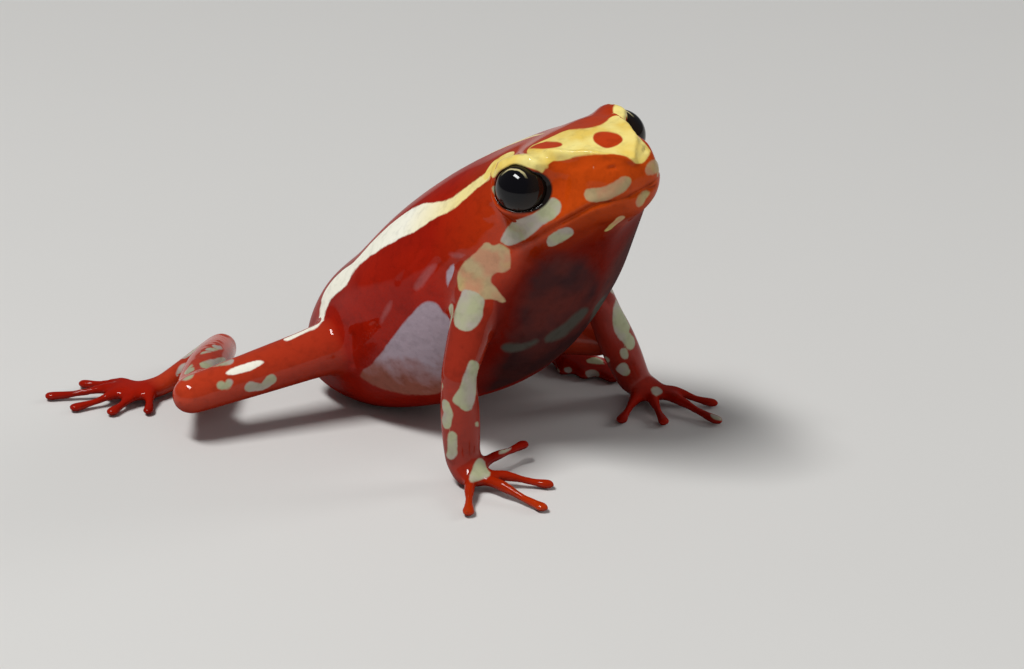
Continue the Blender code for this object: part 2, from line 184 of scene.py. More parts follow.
def placeCamera():
    azimuth, elevation = math.radians(view["azimuth"]), math.radians(view["elevation"])
    back = Vector((math.sin(azimuth) * math.cos(elevation),
                   -math.cos(azimuth) * math.cos(elevation), math.sin(elevation)))
    right = Vector((math.cos(azimuth), math.sin(azimuth), 0))
    up = back.cross(right)
    focal = view["lens"] / view["sensor"] * view["size"][0]  # in pixels
    across = (view["size"][0] / 2 - view["ventPixel"][0]) * view["distance"] / focal
    raised = (view["ventPixel"][1] - view["size"][1] / 2) * view["distance"] / focal
    place = shift + back * view["distance"] + right * across + up * raised
    bpy.ops.object.camera_add(location=place, rotation=(-back).to_track_quat("-Z", "Y").to_euler())
    camera = bpy.context.object
    camera.data.lens = view["lens"]
    camera.data.clip_start = view["nearest"]
    bpy.context.scene.camera = camera
    return place, right, up, back, focal


cameraPlace, cameraRight, cameraUp, cameraBack, focalPixels = placeCamera()


def pixelRay(x, y):
    across = (x - view["size"][0] / 2) / focalPixels
    raised = (view["size"][1] / 2 - y) / focalPixels
    return (cameraRight * across + cameraUp * raised - cameraBack).normalized()


print("camera placed")


def deselect():
    if bpy.context.object and bpy.context.object.mode != "OBJECT":
        bpy.ops.object.mode_set(mode="OBJECT")
    bpy.ops.object.select_all(action="DESELECT")


def bodyForm(rings=60, corners=48):
    deselect()
    bpy.ops.mesh.primitive_circle_add(vertices=corners, radius=mm)
    obj = bpy.context.object
    bpy.ops.object.mode_set(mode="EDIT")
    for ring in range(1, rings):
        bpy.ops.mesh.primitive_circle_add(vertices=corners, radius=mm, location=(ring * mm, 0, 0))
    bpy.ops.object.mode_set(mode="OBJECT")
    last = len(body["sections"]) - 1
    half = corners // 2
    places = len(body["outlines"]["trunk"]) - 1
    for number, vertex in enumerate(obj.data.vertices):
        ring, corner = divmod(number, corners)
        side = 1 if corner <= half else -1
        place = places * (corner if corner <= half else corners - corner) / half
        vertex.co = onBody(last * ring / (rings - 1), place, side)
    bpy.ops.object.mode_set(mode="EDIT")
    bpy.ops.mesh.select_all(action="SELECT")
    bpy.ops.mesh.bridge_edge_loops()
    bpy.ops.mesh.select_all(action="SELECT")
    bpy.ops.mesh.fill_holes(sides=0)
    bpy.ops.mesh.normals_make_consistent(inside=False)
    bpy.ops.object.mode_set(mode="OBJECT")
    return obj


def ballForm(place, size, way=(0, 0, 0)):  # size and place in metres, way in degrees
    deselect()
    bpy.ops.mesh.primitive_uv_sphere_add(segments=24, ring_count=14, radius=1, location=place)
    obj = bpy.context.object
    obj.scale = size
    obj.rotation_euler = [math.radians(angle) for angle in way]
    bpy.ops.object.transform_apply(location=True, rotation=True, scale=True)
    return obj


def tubeForm(places, radii, steps=8):  # places in metres, radii in the frog's millimetres
    rows = []
    count = steps * (len(places) - 1)
    thickness = [Vector((radius * mm, 0)) for radius in radii]
    for step in range(count + 1):
        share = step / count
        rows.append((smoothAt(places, share * (len(places) - 1)),
                     smoothAt(thickness, share * (len(radii) - 1))[0]))
    for turn in range(2):
        start, radius = rows[0]
        outward = (start - rows[1][0]).normalized()
        cap = [(start + outward * radius * math.sin(math.radians(angle)),
                radius * math.cos(math.radians(angle))) for angle in (80, 60, 40, 20)]
        rows = (cap + rows)[::-1]
    deselect()
    bpy.ops.curve.primitive_bezier_curve_add()
    obj = bpy.context.object
    obj.location = (0, 0, 0)
    curve = obj.data
    curve.splines.clear()
    curve.bevel_depth = 1.0
    curve.bevel_resolution = 5
    curve.use_fill_caps = True
    spline = curve.splines.new("POLY")
    spline.points.add(len(rows) - 1)
    for row, (place, radius) in zip(spline.points, rows):
        row.co = (*place, 1.0)
        row.radius = radius
    bpy.ops.object.convert(target="MESH")
    return bpy.context.object


# The lids stand proud of the eyeball, and the sockets are cut once the skin is one
lids = {"wall": 0.30, "opening": 0.74, "tilt": 2.0, "gap": 0.03}


# The brow, a pad along the upper lid: how far forward, up and out of the eye's centre each place is
brow = {"places": ((-1.20, 1.06, 0.02), (-0.62, 1.22, 0.30), (0, 1.34, 0.50), (0.62, 1.22, 0.72),
                   (1.12, 0.92, 0.64), (1.50, 0.55, 0.42)),
        "radii": (0.28, 0.32, 0.31, 0.34, 0.33, 0.26),
        "pad": ((-1.00, 0.92, -0.52), (0, 1.10, -0.46), (0.95, 1.04, -0.20), (1.75, 0.72, 0.02)),
        "padRadii": (0.42, 0.52, 0.52, 0.40)}


def browForm(side, line, radii):
    spot = eyeFrame(side)
    places = [spot @ (Vector((-side * forward, up, out)) * mm) for forward, up, out in brow[line]]
    return tubeForm(places, brow[radii], steps=4)


def lidForm(side):
    spot = eyeFrame(side)
    radius = (eyes["radius"] + lids["wall"]) * mm
    deselect()
    bpy.ops.mesh.primitive_uv_sphere_add(segments=32, ring_count=20, radius=radius)
    obj = bpy.context.object
    bpy.ops.object.mode_set(mode="EDIT")
    bpy.ops.mesh.select_all(action="SELECT")
    tilt = math.radians(lids["tilt"])  # the upper lid reaches further out than the lower one
    bpy.ops.mesh.bisect(plane_co=(0, 0, lids["opening"] * mm),
                        plane_no=(0, -math.sin(tilt), math.cos(tilt)),
                        use_fill=True, clear_outer=True)
    bpy.ops.object.mode_set(mode="OBJECT")
    obj.data.transform(spot)
    return obj


def pawForms(side, plan, pad):
    x, y = plan["middle"]
    forms = [ballForm(at((x, y, pad[2])), [size * mm for size in pad], (0, 0, side * plan["way"]))]
    for angle, length, lift in plan["digits"]:
        turn = math.radians(side * angle)
        way = Vector((math.cos(turn), math.sin(turn), 0))
        low = digit["height"]
        heights = (pad[2] * 0.8, low + digit["arch"] + lift / 2, low + lift * 0.8, low * 0.8 + lift)
        places = []
        for share, height in zip(digit["stops"], heights):
            places.append(at((x + way.x * length * share, y + way.y * length * share, height)))
        forms.append(tubeForm(places, digit["radii"], steps=6))
        reach = length - digit["disc"][0] * 0.6
        tip = at((x + way.x * reach, y + way.y * reach, digit["disc"][2] * 0.75 + lift))
        forms.append(ballForm(tip, [size * mm for size in digit["disc"]], (0, 0, side * angle)))
    return forms


# Muscles that fill the hollows between the main forms: places to the left of the middle, and sizes
muscles = {
    "shoulder": ((12.3, 3.15, 9.7), (1.35, 1.25, 1.50)),
    "chest": ((13.1, 2.90, 8.6), (1.30, 1.20, 1.60)),
    "upperThigh": (0.30, 1.34), "heel": 0.82,  # the share along the thigh and its radius there
    "sunk": 0.60,  # how far the arm starts inside the body
}


def allForms():
    forms = [bodyForm()]
    for word, side in (("left", 1), ("right", -1)):
        arm = {name: at(place) for name, place in arms[word].items()}
        leg = {name: at(place) for name, place in legs[word].items()}
        root = arm["shoulder"] - Vector((0, side * muscles["sunk"] * mm, 0))
        forms.append(tubeForm([root, arm["elbow"]], arms["upperArm"]))
        forms.append(tubeForm([arm["elbow"], arm["wrist"]], arms["forearm"]))
        forms.append(tubeForm([leg["hip"], leg["knee"]], legs["thigh"]))
        forms.append(tubeForm([leg["knee"], leg["heel"]], legs["shank"]))
        forms.append(tubeForm([leg["heel"], leg["ankle"]], legs["tarsus"]))
        forms.append(ballForm(leg["heel"], [muscles["heel"] * mm] * 3))
        share, size = muscles["upperThigh"]
        forms.append(ballForm(leg["hip"].lerp(leg["knee"], share), [size * mm] * 3))
        for name in ("shoulder", "chest"):
            (x, y, z), sizes = muscles[name]
            forms.append(ballForm(at((x, side * y, z)), [part * mm for part in sizes]))
        forms += pawForms(side, hands[word], hands["pad"])
        forms += pawForms(side, feet[word], feet["pad"])
        forms.append(lidForm(side))
        forms.append(browForm(side, "places", "radii"))
        forms.append(browForm(side, "pad", "padRadii"))
    return forms


def makeActive(obj):
    deselect()
    obj.select_set(True)
    bpy.context.view_layer.objects.active = obj


def addModifier(obj, kind, **settings):
    makeActive(obj)
    modifier = obj.modifiers.new(kind.lower(), kind)
    for name, value in settings.items():
        setattr(modifier, name, value)
    bpy.ops.object.modifier_apply(modifier=modifier.name)


def joined(forms, name):
    deselect()
    for form in forms:
        form.select_set(True)
    bpy.context.view_layer.objects.active = forms[0]
    bpy.ops.object.join()
    obj = bpy.context.object
    obj.name = name
    obj.data.name = name
    bpy.ops.object.transform_apply(location=True, rotation=True, scale=True)
    return obj


# The skin's mesh: its voxels in metres, how it is settled, as rounds, weight and whether only its
# hollows are filled, and where it is made finer: a station and the reach round it in millimetres
skinMesh = {"voxel": 0.000154, "settling": ((8, 0.5, False), (60, 0.5, True), (3, 0.5, False)),
            "fineStation": 10.6, "fineReach": 5.3}


def valuesOf(obj, name):
    values = numpy.empty(len(obj.data.vertices) * 3)
    obj.data.vertices.foreach_get(name, values)
    return values.reshape(-1, 3)


def pointsOf(obj):
    return valuesOf(obj, "co")


def normalsOf(obj):
    return valuesOf(obj, "normal")


def setPoints(obj, places):
    obj.data.vertices.foreach_set("co", places.reshape(-1))
    obj.data.update()


def edgeEnds(obj):  # each edge both ways: the points where it starts and those where it ends
    edges = numpy.empty(len(obj.data.edges) * 2, dtype=numpy.int64)
    obj.data.edges.foreach_get("vertices", edges)
    first, second = edges.reshape(-1, 2).T
    return numpy.concatenate([first, second]), numpy.concatenate([second, first])


def neighbourMean(obj):
    start, other = edgeEnds(obj)
    count = numpy.bincount(start, minlength=len(obj.data.vertices))[:, None]

    def mean(values):
        sums = [numpy.bincount(start, weights=values[other, axis], minlength=len(count))
                for axis in range(values.shape[1])]
        return numpy.stack(sums, axis=1) / count
    return mean


def settle(obj, rounds, weight, valleysOnly=False):
    # eases the surface towards its neighbours, or only fills its hollows
    mean = neighbourMean(obj)
    places = pointsOf(obj)
    for turn in range(rounds):
        pull = mean(places) - places
        share = weight
        if valleysOnly:
            share = weight * (numpy.einsum("ij,ij->i", pull, normalsOf(obj)) > 0)[:, None]
        places = places + pull * share
        if valleysOnly and turn % 5 == 4:
            setPoints(obj, places)
    places[:, 2] = numpy.maximum(places[:, 2], 0.0)
    setPoints(obj, places)


def surfaceTree(obj):
    return BVHTree.FromPolygons([vertex.co for vertex in obj.data.vertices],
                                [face.vertices[:] for face in obj.data.polygons])


bodyMiddle = (11, 0, 9)


def onSkin(tree, x, y):  # where the photograph's pixel falls on the skin
    way = pixelRay(x, y)
    place = tree.ray_cast(cameraPlace, way)[0]
    if place is None:  # just outside the outline, so the nearest place to the line of sight
        along = cameraPlace + way * (at(bodyMiddle) - cameraPlace).dot(way)
        place = tree.find_nearest(along)[0]
    return place


# Where each place of the body lies along it, so that what is on one side can be put on the other
sideGrid = [(station / 8, place / 4) for station in range(0, 121) for place in range(0, 25)]
gridRight = numpy.array([onBody(*spot, -1) for spot in sideGrid])


def otherSide(tree, place):
    spot = sideGrid[int(numpy.linalg.norm(gridRight - numpy.array(place), axis=1).argmin())]
    turned = headTurn(turnShare(spot[0]))
    straight = turned.inverted() @ Vector(place) - shift
    straight.y = -straight.y
    return tree.find_nearest(turned @ (straight + shift))[0]


def distanceTo(places, path):
    # from each place to the path, less the path's own radius there; path is (place, radius)
    nearest = numpy.full(len(places), 1.0)
    stops = path if len(path) > 1 else [path[0], path[0]]
    for (start, startRadius), (end, endRadius) in zip(stops, stops[1:]):
        start, end = numpy.array(start), numpy.array(end)
        span = end - start
        share = (places - start) @ span / max(span @ span, 1e-18)
        share = numpy.clip(share, 0, 1)
        gap = numpy.linalg.norm(places - start - share[:, None] * span, axis=1)
        nearest = numpy.minimum(nearest, gap - startRadius - (endRadius - startRadius) * share)
    return nearest


def fromPath(places, path):
    return distanceTo(places, path) * 1000  # in millimetres


def refineHead(obj):
    station = skinMesh["fineStation"]
    centre = numpy.array(onBody(station, 3) / 2 + onBody(station, 0) / 2)
    places = pointsOf(obj)
    near = numpy.linalg.norm(places - centre, axis=1) < skinMesh["fineReach"] * mm
    makeActive(obj)
    for face in obj.data.polygons:
        face.select = all(near[corner] for corner in face.vertices)
    bpy.ops.object.mode_set(mode="EDIT")
    bpy.ops.mesh.select_mode(type="FACE")
    bpy.ops.mesh.subdivide(number_cuts=1)
    bpy.ops.mesh.select_mode(type="VERT")
    bpy.ops.object.mode_set(mode="OBJECT")


def makeSkin():
    obj = joined(allForms(), "frog_skin")
    print("forms joined")
    addModifier(obj, "REMESH", mode="VOXEL", voxel_size=skinMesh["voxel"], adaptivity=0.0)
    for settling in skinMesh["settling"]:
        settle(obj, *settling)
    refineHead(obj)
    settle(obj, 4, 0.5)
    print("skin has", len(obj.data.vertices), "points")
    return obj


skin = makeSkin()

# How far out of its socket each eye's rim stands, how wide the blend is, how the skin slopes away
# from the rim, and how far in and out of the eye's centre this reaches, in millimetres
rims = {"top": 1.30, "bottom": 0.74, "front": 0.28, "back": 0.15, "blend": 1.2, "slope": 0.35,
        "inner": -1.0, "outer": 3.0}


def shapeLids(obj):
    # presses the skin round each eye down to the rim, so that the eyeball stands out of it
    places = pointsOf(obj)
    for side in (1, -1):
        spot = eyeFrame(side)
        back = numpy.array(spot.inverted().to_3x3())
        local = (places - numpy.array(spot.to_translation())) @ back.T / mm
        across = numpy.hypot(local[:, 0], local[:, 1]) + 1e-9
        forward = Vector(headTurn(1).to_3x3() @ Vector((1, 0, 0)))
        ahead = -1.0 if (spot.inverted().to_3x3() @ forward).x < 0 else 1.0
        upShare = local[:, 1] / across
        aheadShare = ahead * local[:, 0] / across
        shares = {"top": upShare, "bottom": -upShare, "front": aheadShare, "back": -aheadShare}
        limit = sum(rims[name] * numpy.maximum(share, 0) ** 2 for name, share in shares.items())
        edge = eyes["radius"] + lids["wall"]
        weight = numpy.clip((edge + rims["blend"] - across) / rims["blend"], 0, 1)
        weight = weight * weight * (3 - 2 * weight)
        slope = numpy.maximum(across - edge, 0) * rims["slope"]
        reached = (local[:, 2] < rims["outer"]) * (local[:, 2] > rims["inner"])
        over = numpy.maximum(local[:, 2] - (limit - slope), 0) * weight * reached
        local[:, 2] -= over
        moved = local * mm @ numpy.linalg.inv(back.T) + numpy.array(spot.to_translation())
        places = numpy.where((over > 0)[:, None], moved, places)
    setPoints(obj, places)


# Ridges and hollows, drawn along the photograph's pixels: path, width and height in millimetres
carving = {
    "canthus": ([
        (549, 152), (562, 153), (575, 154), (590, 153), (603, 156), (620, 157),
        (629, 160)], 0.21, 0.22),
    "crown": ([(556, 140), (585, 140), (612, 143)], 0.95, -0.12),
    "snoutSide": ([(595, 178), (607, 179), (617, 186)], 0.80, 0.20),
    "underCanthus": ([(556, 162), (575, 165), (592, 165), (604, 168)], 0.34, -0.09),
    "eardrum": ([
        (479, 214), (482, 208), (488, 206), (494, 209), (496, 215), (494, 221), (488, 224),
        (482, 221), (479, 214)], 0.08, -0.04),
    "groinFold": ([(353, 336), (350, 350), (353, 364)], 0.20, -0.06),
    "elbowCrease": ([(446, 371), (456, 377), (467, 376)], 0.12, -0.05),
    "wristCrease": ([(447, 462), (457, 467), (468, 465)], 0.11, -0.05),
    "cheekHollow": ([(566, 176), (580, 180), (593, 183)], 0.70, -0.10),
    "nostrilRim": ([(604, 166), (612, 163), (621, 163)], 0.16, 0.04),
    "nostril": ([(610, 169), (614, 168)], 0.11, -0.20),
    "upperLip": ([
        (512, 243), (536, 232), (560, 217), (577, 208), (590, 200), (600, 197),
        (612, 193)], 0.24, 0.05),
    "jawEdge": ([(530, 263), (545, 256), (560, 248), (580, 236), (600, 226)], 0.30, -0.06),
    "cornerFold": ([(500, 214), (503, 226), (506, 240)], 0.30, -0.05),
    "armpitFold": ([(448, 300), (452, 285), (452, 268), (460, 258)], 0.22, -0.07),
    "flankFold": ([(414, 290), (424, 279), (436, 262)], 0.16, -0.06),
    "flankFoldTwo": ([(398, 282), (412, 262), (422, 248)], 0.16, -0.04),
}
mouth = {"side": [(509, 250), (522, 245), (536, 239), (548, 231), (560, 224), (577, 215),
                  (590, 207.5), (600, 203.5), (613, 200)],
         "front": [(625, 197), (640, 192), (650, 188.5), (655, 186)], "width": 0.11,
         "height": -0.12}


def laidOn(tree, path, steps=6):  # the path with more places between, each on the skin
    laid = [path[0]]
    for start, end in zip(path, path[1:]):
        for step in range(1, steps + 1):
            laid.append(tree.find_nearest(start.lerp(end, step / steps))[0])
    return laid


def carve(obj):
    tree = surfaceTree(obj)
    places, normals = pointsOf(obj), normalsOf(obj)
    strokes = []
    for pixels, width, height in carving.values():
        right = [onSkin(tree, x, y) for x, y in pixels]
        strokes.append((right, width, height))
        strokes.append(([otherSide(tree, place) for place in right], width, height))
    right = [onSkin(tree, x, y) for x, y in mouth["side"]]
    front = [onSkin(tree, x, y) for x, y in mouth["front"]]
    left = [otherSide(tree, place) for place in reversed(right + front[:2])]
    lipLine = laidOn(tree, right + front + left)
    strokes.append((lipLine, mouth["width"], mouth["height"]))
    for path, width, height in strokes:
        gap = distanceTo(places, [(place, 0.0) for place in path])
        places = places + normals * (height * mm * numpy.exp(-(gap / (width * mm)) ** 2))[:, None]
    setPoints(obj, places)
    return lipLine


shapeLids(skin)
settle(skin, 3, 0.5)
plainPlaces, plainNormals = pointsOf(skin), normalsOf(skin)
plainFaces = [face.vertices[:] for face in skin.data.polygons]
lipLine = carve(skin)
settle(skin, 1, 0.4)
carvedPlaces = pointsOf(skin)
print("skin made")


def makeEye(side, name):
    spot = eyeFrame(side)
    deselect()
    bpy.ops.mesh.primitive_uv_sphere_add(segments=64, ring_count=40, radius=eyes["radius"] * mm)
    obj = bpy.context.object
    obj.name = name
    obj.data.name = name
    obj.data.transform(spot)
    for face in obj.data.polygons:
        face.use_smooth = True
    return obj


def cutSockets(obj):
    cutters = []
    for side in (1, -1):
        place = eyeFrame(side).to_translation()
        size = (eyes["radius"] + lids["gap"]) * mm
        deselect()
        bpy.ops.mesh.primitive_uv_sphere_add(segments=64, ring_count=40, radius=size, location=place)
        bpy.ops.object.transform_apply(location=True, rotation=True, scale=True)
        cutters.append(bpy.context.object)
    for cutter in cutters:
        addModifier(obj, "BOOLEAN", operation="DIFFERENCE", object=cutter, solver="EXACT")
    for cutter in cutters:
        bpy.data.objects.remove(cutter)


cutSockets(skin)
for face in skin.data.polygons:
    face.use_smooth = True
print("sockets cut")
eyeLeft = makeEye(1, "eye_ball_left")
eyeRight = makeEye(-1, "eye_ball_right")

# Marks, drawn round their edges in the photograph's pixels. Each says what it lies on, and whether
# it is only where it is seen, on both sides of the body, or only on its far side.
marks = {
    "cream": [
        ("body", "both", [
            (489, 169), (486, 173), (479, 178), (470, 184), (462, 190), (455, 195), (448, 200),
            (441, 202), (434, 203), (425, 203), (415, 207), (405, 212), (395, 218), (385, 223),
            (375, 229), (367, 234), (359, 241), (352, 248), (346, 255), (340, 262), (335, 269),
            (330, 277), (326, 285), (323, 294), (321, 303), (320, 315), (317, 330), (314, 345),
            (319, 349), (322, 340), (323, 325), (325, 312), (329, 303), (334, 296), (340, 291),
            (346, 286), (350, 279), (353, 272), (358, 266), (364, 261), (371, 256), (378, 251),
            (386, 246), (394, 242), (400, 238), (408, 235), (416, 230), (424, 225), (432, 220),
            (440, 216), (448, 212), (455, 208), (461, 202), (468, 196), (475, 190), (482, 185),
            (489, 181), (491, 176)]),
        ("leg", "seen", [
            (283, 338), (292, 331), (303, 325), (314, 317), (322, 312), (324, 318), (318, 327),
            (308, 332), (296, 338), (286, 342)]),
        ("leg", "seen", [
            (224, 374), (232, 368), (245, 364), (258, 360), (266, 362), (258, 367), (246, 372),
            (232, 376)]),
    ],
    "pale": [
        ("body", "both", [
            (548, 199), (552, 197), (558, 199), (561, 205), (560, 213), (555, 219), (547, 223),
            (540, 227), (532, 234), (524, 240), (516, 244), (508, 246), (501, 243), (500, 240),
            (504, 233), (508, 226), (513, 221), (521, 218), (530, 215), (538, 210), (544, 204)]),
        ("body", "both", [
            (546, 241), (548, 237), (554, 233), (560, 229), (567, 227.5), (573, 230), (573, 235),
            (567, 240), (560, 244), (553, 247), (548, 246)]),
        ("body", "both", [(492, 186), (497, 186), (499, 192), (496, 195), (492, 190)]),
        ("arm", "seen", [
            (462, 290), (470, 289), (480, 294), (485, 300), (484, 310), (481, 320), (476, 327),
            (469, 332), (461, 330), (454, 326), (453, 318), (456, 308), (459, 299)]),
        ("arm", "seen", [
            (469, 361), (474, 360), (479, 363), (479, 372), (477, 382), (476, 395), (474, 405),
            (470, 412), (462, 410), (453, 402), (452, 398), (457, 392), (461, 386), (463, 378),
            (466, 369)]),
        ("arm", "seen", [(436, 387), (441, 381), (443, 386), (441, 393), (436, 395)]),
        ("arm", "seen", [(474, 422), (479, 421), (480, 427), (475, 428)]),
        ("arm", "seen", [
            (447, 433), (452, 430), (458, 434), (457, 445), (458, 455), (452, 461), (446, 458),
            (448, 448)]),
        ("any", "seen", [
            (468, 481), (472, 469), (479, 457), (485, 461), (486, 468), (492, 474), (483, 479),
            (474, 483)]),
        ("any", "seen", [(498, 452), (504, 447), (511, 445), (512, 449), (505, 453), (499, 455)]),
        ("any", "seen", [(521, 439), (528, 434), (536, 432), (534, 439), (527, 442)]),
        ("arm", "seen", [
            (616, 297), (622, 298), (628, 305), (632, 313), (631, 325), (628, 335), (623, 342),
            (618, 338), (613, 328), (612, 315), (614, 303)]),
        ("arm", "seen", [(620, 349), (626, 347), (629, 354), (627, 360), (621, 357)]),
        ("any", "seen", [(650, 389), (656, 386), (663, 390), (662, 395), (654, 396)]),
        ("any", "seen", [(710, 413), (720, 409), (727, 416), (722, 421), (712, 418)]),
        ("any", "seen", [
            (585, 361), (592, 357), (600, 355), (609, 358), (611, 362), (602, 364), (590, 364)]),
        ("any", "seen", [(547, 372), (552, 367), (559, 368), (560, 373), (553, 376)]),
        ("any", "seen", [(563, 369), (569, 366), (573, 370), (568, 374)]),
        ("any", "seen", [(585, 372), (592, 369), (600, 373), (597, 380), (588, 378)]),
        ("leg", "seen", [
            (197, 351), (205, 346), (216, 343), (227, 342), (229, 347), (218, 350), (206, 353),
            (199, 356)]),
        ("leg", "seen", [
            (200, 362), (212, 359), (224, 357), (235, 359), (232, 364), (218, 366), (205, 369),
            (200, 366)]),
        ("leg", "seen", [
            (176, 372), (182, 364), (190, 362), (195, 368), (193, 378), (184, 381), (177, 378)]),
    ],
    "tan": [
        ("body", "both", [
            (584, 194), (587, 189), (595, 188), (603, 187), (610, 183), (617, 178), (624, 176),
            (630, 178), (630, 184), (624, 190), (616, 195), (608, 200), (600, 202), (591, 202),
            (586, 199)]),
        ("body", "seen", [
            (636, 207), (636, 199), (641, 193), (648, 190), (651, 192), (646, 199), (642, 206)]),
        ("body", "seen", [(652, 163), (656, 165), (659, 174), (655, 178), (653, 172)]),
        ("any", "both", [
            (484, 243), (488, 242), (493, 246), (499, 243), (504, 245), (509, 251), (511, 258),
            (512, 266), (508, 272), (502, 273), (497, 272), (492, 276), (490, 281), (493, 286),
            (498, 292), (504, 298), (506, 302), (502, 303), (496, 300), (490, 298), (485, 300),
            (478, 296), (470, 291), (462, 292), (458, 290), (457, 280), (458, 270), (464, 262),
            (470, 258), (476, 252)]),
    ],
    "gold": [
        ("body", "seen", [
            (499, 157), (504, 152), (512, 150), (525, 149), (540, 149), (552, 150), (556, 158),
            (550, 163), (546, 168), (542, 174), (540, 172), (530, 168), (520, 166), (510, 166),
            (502, 169), (498, 173), (493, 179), (490, 174), (493, 165)]),
        ("body", "far", [
            (506, 158), (525, 158), (540, 158), (552, 153), (556, 158), (550, 163), (546, 170),
            (542, 174), (538, 168), (530, 166), (520, 165), (508, 164)]),
        ("body", "seen", [
            (520, 142), (530, 138), (538, 135), (548, 131), (560, 129), (572, 129), (585, 127),
            (597, 124), (605, 121), (611, 116), (615, 110), (617, 104), (619, 96), (626, 97),
            (630, 106), (633, 117), (635, 126), (640, 133), (647, 139), (650, 147), (647, 156),
            (643, 163), (637, 164), (630, 162), (624, 157), (612, 155), (604, 157), (596, 156),
            (585, 156), (570, 158), (558, 161), (550, 160), (540, 152), (525, 151), (512, 151),
            (505, 153), (508, 148)]),
    ],
    "ember": [
        ("body", "seen", [
            (496, 153), (503, 145), (511, 140), (520, 136), (526, 138), (532, 140.5), (540, 140.5),
            (550, 139.5), (558, 139.5), (563, 142), (560, 145.5), (550, 147.5), (540, 148),
            (530, 148), (522, 149), (512, 150.5), (504, 153)]),
        ("body", "seen", [
            (592, 134), (596, 130), (603, 128.5), (612, 129), (620, 132), (624, 137), (622, 140),
            (614, 143.5), (606, 145.5), (600, 143), (594, 139)]),
    ],
    "lilac": [
        ("body", "both", [
            (446, 275), (448, 267), (454, 263), (462, 262), (462, 270), (459, 280), (460, 290),
            (461, 297), (456, 299), (450, 293), (447, 285)]),
        ("body", "both", [
            (358, 374), (372, 364), (382, 352), (392, 338), (400, 328), (408, 318), (414, 310),
            (421, 304), (428, 301), (434, 302), (439, 306), (443, 312), (450, 318), (462, 325),
            (470, 345), (470, 375), (450, 390), (425, 396), (400, 394), (380, 388), (364, 380)]),
    ],
    "streak": [
        ("body", "both", [
            (412, 288), (416, 280), (424, 272), (433, 264), (438, 263), (434, 271), (427, 279),
            (421, 288), (415, 291)]),
        ("body", "both", [
            (379, 322), (383, 312), (388, 303), (392, 300), (391, 308), (386, 318), (381, 325)]),
        ("body", "both", [(448, 253), (456, 253), (466, 255), (464, 259), (454, 258)]),
    ],
    "ash": [
        ("body", "both", [
            (500, 346), (507, 343), (518, 344), (528, 342), (537, 338), (540, 341), (532, 346),
            (520, 351), (508, 353), (502, 350)]),
        ("body", "both", [
            (544, 340), (548, 334), (556, 329), (566, 322), (575, 314), (583, 307), (589, 308),
            (586, 316), (578, 324), (570, 331), (562, 339), (553, 342), (546, 343)]),
    ],
    "chest": [
        ("body", "both", [
            (486, 300), (505, 285), (520, 262), (540, 250), (570, 240), (600, 230), (625, 225),
            (632, 245), (620, 270), (612, 300), (604, 330), (595, 350), (575, 370), (550, 385),
            (500, 400), (462, 398), (470, 360), (480, 330)]),
    ],
    "dusk": [
        ("body", "both", [
            (533, 268), (545, 258), (565, 253), (590, 260), (601, 275), (604, 300), (602, 330),
            (592, 352), (575, 370), (550, 388), (500, 400), (478, 398), (490, 372), (503, 350),
            (512, 325), (521, 295)]),
    ],
}
# The gold over each eye, from the back forwards: forward, up and out of the eye's centre, and radius
goldOverEye = {
    -1: ((-1.10, 1.30, 0.10, 0.26), (-0.50, 1.50, 0.32, 0.28), (0.20, 1.58, 0.52, 0.28),
         (0.80, 1.40, 0.66, 0.24), (1.20, 1.14, 0.62, 0.14)),
    1: ((-1.10, 1.12, 0.20, 0.22), (-0.50, 1.26, 0.52, 0.22), (0.20, 1.30, 0.72, 0.22),
        (0.80, 1.40, 0.66, 0.24), (1.20, 1.14, 0.62, 0.14)),
}
stripeStart = [(487, 175), (494, 163)]  # where it leaves the stripe along the body
chinMark = {"path": [(609, 229), (614, 224), (620, 219)], "radius": 0.24}
# The stripe down the middle of the back, which only the outline shows: stations, half widths
backStripe = [((8.1, 0.02), (7.4, 0.20), (6.6, 0.26), (5.8, 0.12)),
              ((5.2, 0.10), (4.4, 0.24), (3.4, 0.20), (2.4, 0.05))]


def limbAxes(kinds, words=("left", "right")):  # (start, end, radius) of each segment of the limbs
    found = []
    for word in words:
        arm = {name: at(place) for name, place in arms[word].items()}
        leg = {name: at(place) for name, place in legs[word].items()}
        if "arm" in kinds:
            found.append((arm["shoulder"], arm["elbow"], arms["upperArm"][1]))
            found.append((arm["elbow"], arm["wrist"], arms["forearm"][1]))
        if "leg" in kinds:
            found.append((leg["hip"].lerp(leg["knee"], 0.3), leg["knee"], legs["thigh"][1]))
            found.append((leg["knee"], leg["heel"], legs["shank"][1]))
            found.append((leg["heel"], leg["ankle"], legs["tarsus"][1]))
    return found


def fromLimbs(places, kinds):  # distance from the nearest limb's surface, in millimetres
    nearest = numpy.full(len(places), 1000.0)
    for start, end, radius in limbAxes(kinds):
        nearest = numpy.minimum(nearest, fromPath(places, [(start, radius * mm), (end, radius * mm)]))
    return nearest


def pixelsOf(places):  # where each place is in the photograph
    offset = places - numpy.array(cameraPlace)
    depth = offset @ numpy.array(-cameraBack)
    x = view["size"][0] / 2 + offset @ numpy.array(cameraRight) / depth * focalPixels
    y = view["size"][1] / 2 - offset @ numpy.array(cameraUp) / depth * focalPixels
    return numpy.stack([x, y], axis=1), depth / focalPixels


